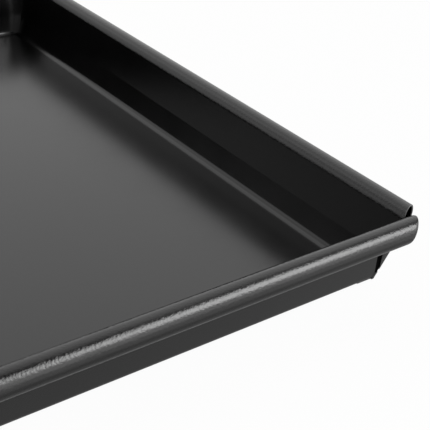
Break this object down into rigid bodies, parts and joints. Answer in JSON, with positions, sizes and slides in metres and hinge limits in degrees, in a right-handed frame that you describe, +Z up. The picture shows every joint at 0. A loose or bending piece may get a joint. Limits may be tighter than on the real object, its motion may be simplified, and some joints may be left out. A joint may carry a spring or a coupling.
{
  "type": "rolled-rim sheet steel tray",
  "caption": "Shallow flat-bottomed tray of dark coated sheet steel with flared walls, folded corners and a hollow rolled rim.",
  "frame": {"origin": "centre of the footprint on the surface the tray stands on", "axes": "+X across the tray towards its right wall, +Y along the tray towards its rear wall, +Z up"},
  "size_m": [0.305, 0.406, 0.04],
  "materials": {
    "floor_coating": "satin charcoal baked coating, fine even grain",
    "wall_coating": "satin charcoal baked coating on bent sheet",
    "rim_coating": "satin charcoal baked coating, coarser grain where the sheet is rolled"
  },
  "bodies": {
    "root": {"floor_panel": "floor_coating", "front_bend": "wall_coating", "rear_bend": "wall_coating", "left_bend": "wall_coating", "right_bend": "wall_coating", "front_wall": "wall_coating", "rear_wall": "wall_coating", "left_wall": "wall_coating", "right_wall": "wall_coating", "front_rim": "rim_coating", "rear_rim": "rim_coating", "left_rim": "rim_coating", "right_rim": "rim_coating", "front_right_corner": "wall_coating", "front_left_corner": "wall_coating", "rear_right_corner": "wall_coating", "rear_left_corner": "wall_coating"}
  },
  "joints": []
}
